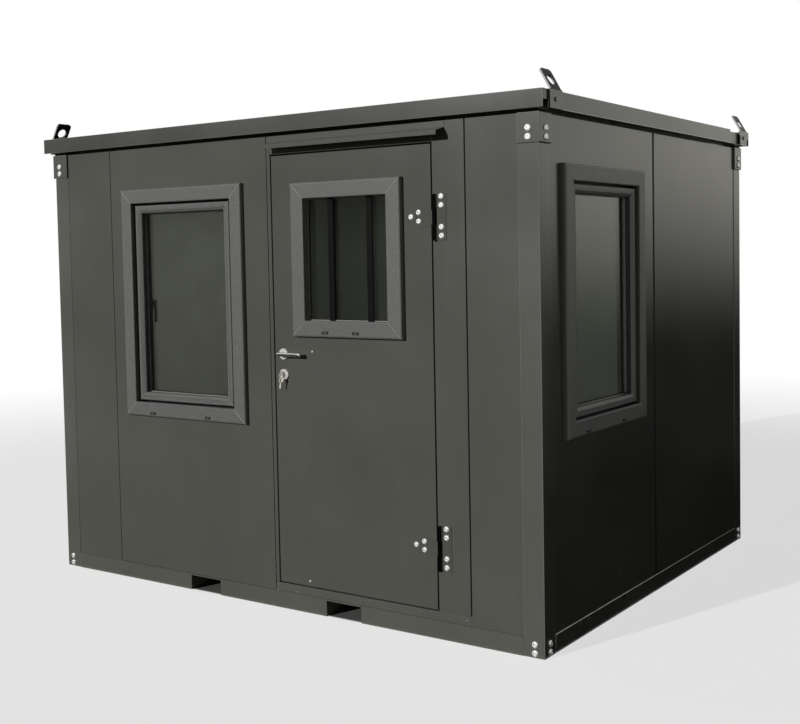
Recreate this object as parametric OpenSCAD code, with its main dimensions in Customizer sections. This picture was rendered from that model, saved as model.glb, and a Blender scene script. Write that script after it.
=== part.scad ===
// Small insulated container cabin: bolted steel corner posts on a base frame with fork pockets,
// flat insulated wall panels, a flat roof with a folded edge, two windows and one glazed door.
// Millimetres. The origin is at the bottom centre, the front faces -Y and +Z is up.

/* [Footprint] */
// Length over the corner posts, left to right
cabin_w = 2991; // [2400:1:3600]
// Depth over the corner posts, front to back
cabin_d = 2438; // [2000:1:3000]
// Height of the corners, up to the gap under the roof edge
post_h = 2271; // [2100:1:2600]
// Width of a post on each of its two outer faces
post_w = 100; // [80:1:140]
// How far the bolted corner leg stands out from the post below it
leg_out = 8; // [1:0.5:16]
// Height of the bolted corner leg that comes down from the roof
leg_h = 125; // [90:1:160]

/* [Base frame] */
// Height of the base rails
rail_h = 82; // [70:1:140]
// Clear width of a fork pocket
pocket_w = 202; // [160:1:300]
// Clear height of a fork pocket
pocket_h = 75; // [50:1:110]
// Distance between the pocket centres
pocket_spacing = 882; // [700:1:1100]
// Thickness of the plates beside a fork pocket
pocket_plate = 6; // [4:1:12]
// Width of the middle joist
joist_w = 70; // [40:1:120]
// Height of the floor's top above the ground
floor_top = 115; // [100:1:180]

/* [Walls] */
// Thickness of a wall panel
wall_t = 67; // [40:1:100]
// How far the panels stand behind the corner posts
wall_set_in = 3; // [1:0.5:25]
// Width of the front wall's window panel beyond the trim, both sides together
window_panel_spare = 255; // [150:1:400]
// Share of the rest of the front wall that the narrow left panel takes
left_panel_share = 0.5643; // [0.3:0.0001:0.7]
// Width of the end wall's window panel beyond the window's trim
side_panel_margin = 151.5; // [60:0.5:250]

/* [Roof] */
// Height of the gap between the wall tops and the folded roof edge
shadow_gap = 11; // [6:1:25]
// Height of the folded roof edge
fascia_h = 76; // [50:1:120]
// How far the roof edge stands out from the corner posts
fascia_out = 40; // [20:1:80]
// Thickness of the roof edge's folded sheet
fascia_t = 5; // [3:1:8]
// Depth of the roof edge's top flange
fascia_flange = 100; // [60:1:150]
// Set-back of the end roof edges from the front of the corner
fascia_end_gap = 14; // [5:1:40]
// Length of end roof edge left open beside the back corner
fascia_back_open = 262; // [150:1:320]
// How far the roof slab stands behind the corner posts
roof_set_in = 40; // [30:1:60]
// How far the neck between a corner leg and the roof stands behind the corner posts
neck_set_in = 25; // [10:1:28]
// Height of the tabs that close the ends of the long roof edges
fascia_tab_h = 38; // [20:1:60]

/* [Lifting lugs] */
// Width of a lug's plate
lug_plate_w = 112; // [95:1:130]
// Width of a lug's ear
lug_w = 92; // [70:1:110]
// Thickness of a lug's plate
lug_t = 8; // [6:1:12]
// Distance of a lug's centre from the corner post's face
lug_inset = 67; // [55:1:90]
// Length of the bent ear
lug_ear = 103; // [80:1:120]
// Lean of the ear towards the roof
lug_lean = 30; // [10:1:45]
// Radius of the ear's tip corners
lug_round = 16; // [5:1:30]
// Diameter of the lifting hole
lug_hole_d = 50; // [30:1:54]
// Distance of the lifting hole along the ear
lug_hole_at = 48; // [40:1:60]
// Diameter of the head of the bolt that holds a lug
lug_bolt_d = 20; // [14:1:28]
// Height of that bolt's head
lug_bolt_h = 6; // [3:0.5:10]

/* [Windows] */
// Outside width of a window's trim
trim_w = 835; // [600:1:1000]
// Outside height of a window's trim
trim_h = 1178; // [900:1:1300]
// Width of a window's trim on its face
trim_face = 73; // [40:1:90]
// How far a trim stands out of its wall
trim_out = 25; // [10:1:40]
// How far the front window's middle lies left of its panel's middle
front_window_shift = 26; // [0:1:80]
// Distance from the wall's top down to the front window's trim
front_window_drop = 213; // [120:1:300]
// Distance from the front of the corner post to the right window's trim
right_window_margin = 197.5; // [150:0.5:300]
// Distance from the wall's top down to the right window's trim
right_window_drop = 199; // [120:1:300]
// Gap between the trim and the sash's sides
sash_gap = 17; // [8:1:30]
// Gap between the trim and the sash's top and bottom
sash_end_gap = 11; // [6:1:30]
// Width of the sash's members
sash_face = 40; // [25:1:70]
// How far the sash stands out of its wall
sash_out = 9; // [0:1:20]
// How far a window's glass stands behind the sash's face
glass_set_in = 36; // [3:1:45]
// Thickness of a glazing unit
glass_t = 20; // [6:1:24]

/* [Door] */
// Width of the door frame on its lock side
door_frame_left_w = 22; // [8:1:60]
// Width of the door frame on its hinge side
door_frame_right_w = 167; // [120:1:220]
// Height of the door frame's head
door_head_h = 89; // [75:1:140]
// Width of the door leaf
leaf_w = 907; // [750:1:1000]
// Underside of the door leaf
leaf_z = 129; // [115:1:160]
// Thickness of the door leaf
leaf_t = 40; // [35:1:60]
// How far the door leaf and its frame stand out of the wall
leaf_out = 0; // [0:1:12]
// Gap around the door leaf
leaf_gap = 7; // [5:0.5:10]
// Gap between the back of the leaf and its stop
stop_gap = 7; // [5:0.5:10]
// How far the stop reaches behind the leaf
stop_lap = 18; // [10:1:30]
// Distance from the leaf's left edge to its window's trim
door_trim_margin = 133; // [100:1:160]
// Distance from the leaf's top down to its window's trim
door_trim_drop = 134; // [80:1:200]
// Width of the door window's trim
door_trim_w = 625; // [500:1:700]
// Height of the door window's trim
door_trim_h = 720; // [500:1:900]
// Width of the door window's trim on its face
door_trim_face = 76; // [40:1:90]
// How far the door window's glass stands behind the leaf's face
door_glass_set_in = 12; // [3:1:16]
// How far the door window's trim stands out of the leaf
door_trim_out = 28; // [10:1:35]

/* [Door furniture] */
// Distance of the hinge line from the leaf's edge
hinge_reach = 20; // [16:0.5:30]
// Diameter of a hinge knuckle
knuckle_d = 16; // [12:0.5:24]
// Diameter of a hinge pin
hinge_pin_d = 8; // [6:0.5:12]
// Length of a hinge
hinge_h = 202; // [120:1:260]
// Distance from the leaf's foot up to the lower hinge's middle
hinge_low_rise = 277; // [150:1:450]
// Distance from the leaf's top down to the upper hinge's middle
hinge_high_drop = 319; // [150:1:450]
// Length of a hinge's strap on the leaf
strap_len = 122; // [90:1:160]
// Length of the part of the strap that widens
strap_flare = 50; // [30:1:70]
// Greatest height of the strap
strap_wide = 90; // [70:1:110]
// Height of the strap's tip
strap_tip = 40; // [25:1:60]
// Thickness of the hinge plates
hinge_plate_t = 2; // [1.5:0.5:5]
// Width of a hinge's plate on the door frame
hinge_plate_w = 50; // [35:1:70]
// Thickness of the web between a plate and its knuckle
hinge_web = 4; // [2:0.5:6]
// Clearance between the door frame and the leaf's side of a hinge
hinge_lift = 2; // [1:0.5:4]
// Clearance between the hinge pin and the leaf's knuckle
hinge_clear = 0.5; // [0.2:0.1:1]
// Distance of the lever's turning line from the leaf's edge
lever_inset = 56; // [48:1:80]
// Distance from the door window's trim down to the lever
lever_drop = 86; // [60:1:150]
// Length of the lever from its turning line
lever_len = 127; // [100:1:160]
// How far the lever's bar reaches back past its turning line
lever_tail = 8; // [0:1:20]
// Diameter of the lever's bar
lever_d = 19; // [15:0.5:24]
// Distance from the lever down to the lock cylinder
cylinder_drop = 98; // [80:1:110]
// Diameter of the round plates under the lever and the cylinder
rose_d = 52; // [45:1:60]
// How far the lever's face stands out of the leaf
lever_out = 46; // [38:1:60]
// Clearance between the lever's neck and its round plate
neck_clear = 1; // [0.5:0.1:2]
// Distance of the drip rail's left end from the door frame's edge
drip_margin = 17; // [2:1:30]
// How much longer than the leaf the drip rail is
drip_extra = 84; // [40:1:150]
// Distance from the wall's top down to the drip rail
drip_drop = 3; // [2:1:20]
// Height of the drip rail's upright flange
drip_flange = 27; // [15:1:40]
// How far the drip rail stands out of the door frame
drip_out = 65; // [20:1:90]
// Fall of the drip rail from its fold to its lip
drip_fall = 17; // [5:1:30]
// Height of the drip rail's lip
drip_lip = 19; // [10:1:30]
// Thickness of the drip rail's sheet
drip_t = 2; // [1.5:0.5:4]

/* [Hidden] */
$fn = 48;
fx = cabin_w / 2;
fy = cabin_d / 2;
wx = fx - wall_set_in;
wy = fy - wall_set_in;
ix = wx - wall_t;
iy = wy - wall_t;
rail_t = wall_set_in + wall_t;
panel_h = post_h - rail_h;
floor_t = floor_top - pocket_h;
leg_z = post_h - leg_h;
fascia_z = post_h + shadow_gap;
fascia_top = fascia_z + fascia_h;
roof_top = fascia_top - fascia_t;
leaf_face = -wy - leaf_out;
leaf_back = leaf_face + leaf_t;
stop_face = leaf_back + stop_gap;
door_set_w = leaf_w + 2 * leaf_gap + door_frame_left_w + door_frame_right_w;
window_panel_w = trim_w + window_panel_spare;
narrow_panels_w = cabin_w - 2 * post_w - door_set_w - window_panel_w;
left_panel_w = round(2 * narrow_panels_w * left_panel_share) / 2;
right_panel_w = narrow_panels_w - left_panel_w;
seam_left_x = -fx + post_w + left_panel_w;
seam_right_x = fx - post_w - right_panel_w;
door_right = seam_right_x - door_frame_right_w;
leaf_right = door_right - leaf_gap;
leaf_x = leaf_right - leaf_w;
door_left = leaf_x - leaf_gap;
seam_door_x = door_left - door_frame_left_w;
door_head_z = post_h - door_head_h;
leaf_top = door_head_z - leaf_gap;
sill_z = leaf_z - leaf_gap;
front_window_x = (seam_left_x + seam_door_x) / 2 - front_window_shift;
front_window_z = post_h - front_window_drop - trim_h;
right_window_y = -fy + right_window_margin + trim_w / 2;
right_window_z = post_h - right_window_drop - trim_h;
seam_side_y = right_window_y + trim_w / 2 + side_panel_margin;
door_trim_x = leaf_x + door_trim_margin;
door_trim_z = leaf_top - door_trim_drop - door_trim_h;
hole_lap = 25;
window_hole_w = trim_w - 2 * trim_face + 2 * hole_lap;
window_hole_h = trim_h - 2 * trim_face + 2 * hole_lap;
sash_w = trim_w - 2 * trim_face - 2 * sash_gap;
sash_h = trim_h - 2 * trim_face - 2 * sash_end_gap;
sash_back = 49;
glass_w = sash_w - 2 * sash_face;
glass_h = sash_h - 2 * sash_face;
door_glass_w = door_trim_w - 2 * door_trim_face;
door_glass_h = door_trim_h - 2 * door_trim_face;
door_glass_mid_x = door_trim_x + door_trim_w / 2;
door_glass_mid_z = door_trim_z + door_trim_h / 2;
lug_x = fx + fascia_out + lug_t;
lug_y = fy - lug_inset;
lug_bend_z = fascia_top + lug_t * tan(lug_lean / 2) + 0.5;
hinge_x = leaf_right + hinge_reach;
hinge_low_z = leaf_z + hinge_low_rise;
hinge_high_z = leaf_top - hinge_high_drop;
hinge_y = leaf_face - hinge_lift - knuckle_d / 2;
knuckle_h = hinge_h / 3;
rose_t = 8;
lever_x = leaf_x + lever_inset;
lever_z = door_trim_z - lever_drop;
cylinder_z = lever_z - cylinder_drop;
drip_x = seam_door_x + drip_margin;
drip_len = leaf_w + drip_extra;
drip_top = post_h - drip_drop;
drip_fold = drip_top - drip_flange;

// A box between two corners
module block(lo, hi) {
    translate(lo)
        cube(hi - lo);
}

// An upright rectangular ring standing in the XZ plane, its front at y0 and its back at y1
module ring(mid_x, low_z, w, h, face, y0, y1) {
    difference() {
        block([mid_x - w / 2, y0, low_z], [mid_x + w / 2, y1, low_z + h]);
        block([mid_x - w / 2 + face, y0 - 1, low_z + face], [mid_x + w / 2 - face, y1 + 1, low_z + h - face]);
    }
}

// A long base rail with the two fork pockets notched through it, standing at the front
module pocket_rail() {
    difference() {
        block([-fx + post_w, -fy, 0], [fx - post_w, -iy, rail_h]);
        for (side = [-1, 1])
            translate([side * pocket_spacing / 2, 0, 0])
                block([-pocket_w / 2, -fy - 1, -1], [pocket_w / 2, -iy + 1, pocket_h]);
    }
}

// An end base rail, standing at the right
module end_rail() {
    block([ix, -fy + post_w, 0], [fx, fy - post_w, rail_h]);
}

// The plan of a corner at the front right: an angle that leaves the inside of the cabin square
module corner_plan(outset_x, outset_y, inner_x, inner_y) {
    difference() {
        translate([fx - post_w, -outset_y])
            square([outset_x - fx + post_w, outset_y - fy + post_w]);
        translate([fx - post_w - 1, -inner_y])
            square([inner_x - fx + post_w + 1, inner_y - fy + post_w + 1]);
    }
}

// A corner post at the front right
module post() {
    linear_extrude(leg_z)
        corner_plan(fx, fy, ix, iy);
}

// A bolted corner leg at the front right, with a neck and the roof corner above it
module roof_corner() {
    translate([0, 0, leg_z])
        linear_extrude(leg_h)
            corner_plan(fx + leg_out, fy + leg_out, ix, iy);
    translate([0, 0, post_h])
        linear_extrude(shadow_gap)
            corner_plan(fx - neck_set_in, fy - neck_set_in, fx - roof_set_in, fy - roof_set_in);
    translate([0, 0, fascia_z])
        linear_extrude(roof_top - fascia_z)
            corner_plan(fx, fy, fx - roof_set_in, fy - roof_set_in);
}

// A plain front wall panel between two edges
module front_slab(x0, x1) {
    block([x0, -wy, rail_h], [x1, -iy, post_h]);
}

// A plain right wall panel between two edges
module right_slab(y0, y1) {
    block([ix, y0, rail_h], [wx, y1, post_h]);
}

// Lays something drawn on the front wall onto the right wall
module on_right_wall() {
    translate([wx - wy, 0, 0])
        rotate([0, 0, 90])
            children();
}

// The hole in a wall for a window, drawn on the front wall
module window_hole(mid, low) {
    lo_z = low + trim_face - hole_lap;
    block([mid - window_hole_w / 2, -wy - 1, lo_z], [mid + window_hole_w / 2, -iy + 1, lo_z + window_hole_h]);
}

// A window's trim, drawn on the front wall
module window_trim(mid, low) {
    ring(mid, low, trim_w, trim_h, trim_face, -wy - trim_out, -wy);
}

// A window's fixed frame, filling its hole behind the sash
module window_frame(mid, low) {
    ring(mid, low + trim_face - hole_lap, window_hole_w, window_hole_h, hole_lap + sash_gap + sash_face,
        -wy + sash_back, -iy);
}

// A window's sash
module window_sash(mid, low) {
    ring(mid, low + trim_face + sash_end_gap, sash_w, sash_h, sash_face, -wy - sash_out, -wy + sash_back);
}

// A window's glazing unit
module window_glass(mid, low) {
    lo_z = low + trim_face + sash_end_gap + sash_face;
    y0 = -wy - sash_out + glass_set_in;
    block([mid - glass_w / 2, y0, lo_z], [mid + glass_w / 2, y0 + glass_t, lo_z + glass_h]);
}

// The folded roof edge at the front, with a tab closing the top of each end
module long_edge() {
    y0 = -fy - fascia_out;
    x1 = fx + fascia_out;
    block([-x1, y0, fascia_z], [x1, y0 + fascia_t, roof_top]);
    block([-x1, y0, roof_top], [x1, y0 + fascia_flange, fascia_top]);
    for (flip = [0, 1])
        mirror([flip, 0, 0])
            block([x1 - fascia_t, y0, roof_top - fascia_tab_h], [x1, -fy, roof_top]);
}

// The folded roof edge at the right, open beside the back corner
module end_edge() {
    y1 = fy - fascia_back_open;
    x1 = fx + fascia_out;
    block([x1 - fascia_t, -fy + fascia_end_gap, fascia_z], [x1, y1, roof_top]);
    block([x1 - fascia_flange, -fy - fascia_out + fascia_flange, roof_top], [x1, y1, fascia_top]);
}

// The outline of a lug's ear, with its tip corners rounded
module ear_outline() {
    difference() {
        union() {
            translate([-lug_w / 2, 0])
                square([lug_w, lug_ear - lug_round]);
            translate([-lug_w / 2 + lug_round, 0])
                square([lug_w - 2 * lug_round, lug_ear]);
            for (side = [-1, 1])
                translate([side * (lug_w / 2 - lug_round), lug_ear - lug_round])
                    circle(r = lug_round);
        }
        translate([0, lug_hole_at])
            circle(d = lug_hole_d);
    }
}

// A lifting lug at the right: a plate outside the roof edge, the bolt that holds it, a spacer to the
// roof corner and an ear bent towards the roof
module lug(spacer_end) {
    block([lug_x - lug_t, -lug_plate_w / 2, fascia_z], [lug_x, lug_plate_w / 2, lug_bend_z]);
    translate([lug_x, 0, (fascia_z + fascia_top) / 2])
        rotate([0, 90, 0])
            cylinder(d = lug_bolt_d, h = lug_bolt_h);
    block([fx, -lug_w / 4, fascia_z + 8], [spacer_end, lug_w / 4, roof_top - 8]);
    translate([lug_x, 0, lug_bend_z])
        rotate([0, -lug_lean, 0])
            translate([-lug_t, 0, 0])
                rotate([90, 0, 90])
                    linear_extrude(lug_t)
                        ear_outline();
}

// One hinge's frame side: plate, end knuckles and pin, with its middle at z = 0
module hinge_frame_side() {
    plate_x = hinge_x + knuckle_d / 2;
    end_h = knuckle_h - 1;
    block([plate_x, leaf_face - hinge_plate_t, -hinge_h / 2], [plate_x + hinge_plate_w, leaf_face, hinge_h / 2]);
    translate([hinge_x, hinge_y, 0])
        cylinder(d = hinge_pin_d, h = hinge_h - 4, center = true);
    for (end = [-1, 1])
        translate([0, 0, end * knuckle_h]) {
            translate([hinge_x, hinge_y, 0])
                cylinder(d = knuckle_d, h = end_h, center = true);
            block(
                [hinge_x + 2, leaf_face - hinge_lift - hinge_web, -end_h / 2 + 1],
                [plate_x + 3, leaf_face, end_h / 2 - 1]
            );
        }
}

// One hinge's leaf side: tapered strap and middle knuckle, with its middle at z = 0
module hinge_leaf_side() {
    strap_h = knuckle_h - 1;
    difference() {
        union() {
            translate([hinge_x, hinge_y, 0])
                cylinder(d = knuckle_d, h = strap_h, center = true);
            block(
                [leaf_right - 8, leaf_face - hinge_lift - hinge_web, -strap_h / 2 + 1],
                [hinge_x - 2, leaf_face - hinge_lift + 0.4, strap_h / 2 - 1]
            );
            translate([0, leaf_face, 0])
                rotate([90, 0, 0])
                    linear_extrude(hinge_plate_t)
                        polygon([
                            [leaf_right - 2, -strap_h / 2],
                            [leaf_right - 2, strap_h / 2],
                            [leaf_right - strap_flare, strap_wide / 2],
                            [leaf_right - strap_len, strap_tip / 2],
                            [leaf_right - strap_len, -strap_tip / 2],
                            [leaf_right - strap_flare, -strap_wide / 2]
                        ]);
        }
        translate([hinge_x, hinge_y, 0])
            cylinder(d = hinge_pin_d + 2 * hinge_clear, h = hinge_h, center = true);
    }
}

module base_rail_front() {
    color("dimgray") pocket_rail();
}

module base_rail_back() {
    color("dimgray") mirror([0, 1, 0]) pocket_rail();
}

module base_rail_left() {
    color("dimgray") mirror([1, 0, 0]) end_rail();
}

module base_rail_right() {
    color("dimgray") end_rail();
}

module base_cross_members() {
    color("dimgray") {
        for (side = [-1, 1], edge = [-1, 1])
            translate([side * pocket_spacing / 2 + edge * (pocket_w + pocket_plate) / 2, 0, 0])
                block([-pocket_plate / 2, -iy, 0], [pocket_plate / 2, iy, pocket_h]);
        block([-joist_w / 2, -iy, 0], [joist_w / 2, iy, pocket_h]);
    }
}

module floor_panel() {
    color("tan") block([-ix, -iy, pocket_h], [ix, iy, floor_top]);
}

module post_front_left() {
    color("dimgray") mirror([1, 0, 0]) post();
}

module post_front_right() {
    color("dimgray") post();
}

module post_back_left() {
    color("dimgray") mirror([1, 0, 0]) mirror([0, 1, 0]) post();
}

module post_back_right() {
    color("dimgray") mirror([0, 1, 0]) post();
}

module roof_corners() {
    color("dimgray")
        for (flip_x = [0, 1], flip_y = [0, 1])
            mirror([flip_x, 0, 0])
                mirror([0, flip_y, 0])
                    roof_corner();
}

module front_panel_left() {
    color("gray") front_slab(-fx + post_w, seam_left_x);
}

module front_panel_window() {
    color("gray")
        difference() {
            front_slab(seam_left_x, seam_door_x);
            window_hole(front_window_x, front_window_z);
        }
}

module front_panel_right() {
    color("gray") front_slab(seam_right_x, fx - post_w);
}

module right_panel_window() {
    color("gray")
        difference() {
            right_slab(-fy + post_w, seam_side_y);
            on_right_wall() window_hole(right_window_y, right_window_z);
        }
}

module right_panel_plain() {
    color("gray") right_slab(seam_side_y, fy - post_w);
}

module left_panel_front() {
    color("gray") mirror([1, 0, 0]) right_slab(-fy + post_w, seam_side_y);
}

module left_panel_back() {
    color("gray") mirror([1, 0, 0]) right_slab(seam_side_y, fy - post_w);
}

module back_panel_left() {
    color("gray") mirror([0, 1, 0]) front_slab(-fx + post_w, -(fx - post_w) / 3);
}

module back_panel_middle() {
    color("gray") mirror([0, 1, 0]) front_slab(-(fx - post_w) / 3, (fx - post_w) / 3);
}

module back_panel_right() {
    color("gray") mirror([0, 1, 0]) front_slab((fx - post_w) / 3, fx - post_w);
}

module door_jamb_left() {
    color("gray") {
        block([seam_door_x, leaf_face, sill_z], [door_left, -iy, post_h]);
        block([door_left, stop_face, sill_z], [leaf_x + stop_lap, -iy, door_head_z]);
    }
}

module door_jamb_right() {
    color("gray") {
        block([door_right, leaf_face, sill_z], [seam_right_x, -iy, post_h]);
        block([leaf_right - stop_lap, stop_face, sill_z], [door_right, -iy, door_head_z]);
    }
}

module door_head() {
    color("gray") {
        block([door_left, leaf_face, door_head_z], [door_right, -iy, post_h]);
        block([leaf_x + stop_lap, stop_face, leaf_top - stop_lap], [leaf_right - stop_lap, -iy, door_head_z]);
    }
}

module door_sill() {
    color("gray") block([seam_door_x, leaf_face, rail_h], [seam_right_x, -iy, sill_z]);
}

module drip_rail() {
    lip_z = drip_fold - drip_fall;
    color("gray")
        translate([drip_x, leaf_face, 0])
            rotate([90, 0, 90])
                linear_extrude(drip_len)
                    polygon([
                        [0, drip_top],
                        [-drip_t, drip_top],
                        [-drip_t, drip_fold],
                        [-drip_out, lip_z],
                        [-drip_out, lip_z - drip_lip],
                        [-drip_out + drip_t, lip_z - drip_lip],
                        [-drip_out + drip_t, lip_z - drip_t],
                        [0, drip_fold - drip_t]
                    ]);
}

module front_window_trim() {
    color("silver") window_trim(front_window_x, front_window_z);
}

module front_window_frame() {
    color("silver") window_frame(front_window_x, front_window_z);
}

module front_window_sash() {
    color("silver") window_sash(front_window_x, front_window_z);
}

module front_window_glass() {
    color("lightblue") window_glass(front_window_x, front_window_z);
}

module right_window_trim() {
    color("silver") on_right_wall() window_trim(right_window_y, right_window_z);
}

module right_window_frame() {
    color("silver") on_right_wall() window_frame(right_window_y, right_window_z);
}

module right_window_sash() {
    color("silver") on_right_wall() window_sash(right_window_y, right_window_z);
}

module right_window_glass() {
    color("lightblue") on_right_wall() window_glass(right_window_y, right_window_z);
}

module roof_panel() {
    color("gray") block([-fx + roof_set_in, -fy + roof_set_in, post_h], [fx - roof_set_in, fy - roof_set_in, roof_top]);
}

module roof_edge_front() {
    color("gray") long_edge();
}

module roof_edge_back() {
    color("gray") mirror([0, 1, 0]) long_edge();
}

module roof_edge_left() {
    color("gray") mirror([1, 0, 0]) end_edge();
}

module roof_edge_right() {
    color("gray") end_edge();
}

module lifting_lugs() {
    color("darkgray")
        for (flip = [0, 1])
            mirror([flip, 0, 0]) {
                translate([0, -lug_y, 0])
                    lug(fx + fascia_out - fascia_t);
                translate([0, lug_y, 0])
                    lug(fx + fascia_out);
            }
}

module door_leaf() {
    color("gray")
        difference() {
            block([leaf_x, leaf_face, leaf_z], [leaf_right, leaf_back, leaf_top]);
            block(
                [door_glass_mid_x - door_glass_w / 2, leaf_face - 1, door_glass_mid_z - door_glass_h / 2],
                [door_glass_mid_x + door_glass_w / 2, leaf_back + 1, door_glass_mid_z + door_glass_h / 2]
            );
        }
}

module door_window_trim() {
    color("silver")
        ring(door_glass_mid_x, door_trim_z, door_trim_w, door_trim_h, door_trim_face,
            leaf_face - door_trim_out, leaf_face);
}

module door_window_glass() {
    y0 = leaf_face + door_glass_set_in;
    color("lightblue")
        block(
            [door_glass_mid_x - door_glass_w / 2, y0, door_glass_mid_z - door_glass_h / 2],
            [door_glass_mid_x + door_glass_w / 2, y0 + glass_t, door_glass_mid_z + door_glass_h / 2]
        );
}

module hinge_frame_sides() {
    color("black")
        for (z = [hinge_low_z, hinge_high_z])
            translate([0, 0, z])
                hinge_frame_side();
}

module hinge_leaf_sides() {
    color("black")
        for (z = [hinge_low_z, hinge_high_z])
            translate([0, 0, z])
                hinge_leaf_side();
}

module lock_plates() {
    color("lightgray") {
        translate([lever_x, leaf_face, lever_z])
            rotate([90, 0, 0])
                difference() {
                    cylinder(d = rose_d, h = rose_t);
                    translate([0, 0, -1])
                        cylinder(d = lever_d + 2 * neck_clear, h = rose_t + 2);
                }
        translate([lever_x + 1, leaf_face, cylinder_z])
            rotate([90, 0, 0])
                cylinder(d = rose_d, h = rose_t);
    }
}

module door_lever() {
    neck_back = leaf_face - neck_clear;
    bar_y = leaf_face - lever_out + lever_d / 2;
    color("lightgray")
        translate([lever_x, 0, lever_z]) {
            translate([0, neck_back, 0])
                rotate([90, 0, 0])
                    cylinder(d = lever_d, h = neck_back - bar_y);
            translate([0, bar_y, 0]) {
                translate([-lever_tail, 0, 0]) {
                    sphere(d = lever_d);
                    rotate([0, 90, 0])
                        cylinder(d = lever_d, h = lever_tail + lever_len - lever_d / 2);
                }
                translate([lever_len - lever_d / 2, 0, 0])
                    sphere(d = lever_d);
            }
        }
}

base_rail_front();
base_rail_back();
base_rail_left();
base_rail_right();
base_cross_members();
floor_panel();
post_front_left();
post_front_right();
post_back_left();
post_back_right();
roof_corners();
front_panel_left();
front_panel_window();
front_panel_right();
right_panel_window();
right_panel_plain();
left_panel_front();
left_panel_back();
back_panel_left();
back_panel_middle();
back_panel_right();
door_jamb_left();
door_jamb_right();
door_head();
door_sill();
drip_rail();
front_window_trim();
front_window_frame();
front_window_sash();
front_window_glass();
right_window_trim();
right_window_frame();
right_window_sash();
right_window_glass();
roof_panel();
roof_edge_front();
roof_edge_back();
roof_edge_left();
roof_edge_right();
lifting_lugs();
door_leaf();
door_window_trim();
door_window_glass();
hinge_frame_sides();
hinge_leaf_sides();
lock_plates();
door_lever();
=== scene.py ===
"""Insulated container cabin: its finishes, fittings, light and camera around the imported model."""

import math

import bmesh
import bpy
from mathutils import Matrix, Vector


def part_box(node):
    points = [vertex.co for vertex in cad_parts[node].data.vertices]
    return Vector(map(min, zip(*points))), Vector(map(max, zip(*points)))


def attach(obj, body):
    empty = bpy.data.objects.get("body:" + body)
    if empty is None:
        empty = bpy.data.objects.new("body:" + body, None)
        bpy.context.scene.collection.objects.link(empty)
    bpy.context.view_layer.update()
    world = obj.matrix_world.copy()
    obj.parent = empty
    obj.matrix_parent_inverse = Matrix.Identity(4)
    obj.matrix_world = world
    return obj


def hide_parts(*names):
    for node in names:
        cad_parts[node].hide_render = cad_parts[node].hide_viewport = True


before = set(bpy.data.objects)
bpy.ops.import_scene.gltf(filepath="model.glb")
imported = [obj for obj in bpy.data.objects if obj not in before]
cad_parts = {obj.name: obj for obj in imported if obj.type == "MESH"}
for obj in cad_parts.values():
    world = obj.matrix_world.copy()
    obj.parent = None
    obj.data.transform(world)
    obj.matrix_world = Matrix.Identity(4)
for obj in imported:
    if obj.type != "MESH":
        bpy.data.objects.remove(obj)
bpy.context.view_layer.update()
scene = bpy.context.scene

MM = 0.001
# Sockets of the colour Mix node, which share their names with its number sockets
MIX_A = 6
MIX_B = 7
MIX_OUT = 2
# Each wall's own axes: along it, up it and out of it
ON_FRONT = Matrix(((1, 0, 0, 0), (0, 0, -1, 0), (0, 1, 0, 0), (0, 0, 0, 1)))
ON_RIGHT = Matrix(((0, 0, 1, 0), (1, 0, 0, 0), (0, 1, 0, 0), (0, 0, 0, 1)))
ON_BACK = Matrix(((-1, 0, 0, 0), (0, 0, 1, 0), (0, 1, 0, 0), (0, 0, 0, 1)))
ON_LEFT = Matrix(((0, 0, -1, 0), (-1, 0, 0, 0), (0, 1, 0, 0), (0, 0, 0, 1)))


def linear(hex_code):
    """An sRGB hex colour as linear red, green, blue and alpha."""
    channels = [int(hex_code[i:i + 2], 16) / 255 for i in (1, 3, 5)]
    return [c / 12.92 if c <= 0.04045 else ((c + 0.055) / 1.055) ** 2.4 for c in channels] + [1.0]


def per_metre(mm):
    """The texture scale at which one cell of a pattern is so many millimetres wide."""
    return 1000.0 / mm


def add(tree, kind, settings, links):
    """Adds one shader node, sets its properties and plain sockets, and links the others."""
    node = tree.nodes.new("ShaderNode" + kind)
    for key, value in settings.items():
        if isinstance(key, int) or key in node.inputs:
            node.inputs[key].default_value = value
        else:
            setattr(node, key, value)
    for key, source in links.items():
        tree.links.new(source, node.inputs[key])
    return node


def begin(name):
    """A new material with its node tree, its shader and the object's own coordinates in metres."""
    material = bpy.data.materials.new(name)
    material.use_nodes = True
    tree = material.node_tree
    shader = tree.nodes["Principled BSDF"]
    where = add(tree, "TexCoord", {}, {}).outputs["Object"]
    return material, tree, shader, where


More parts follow.
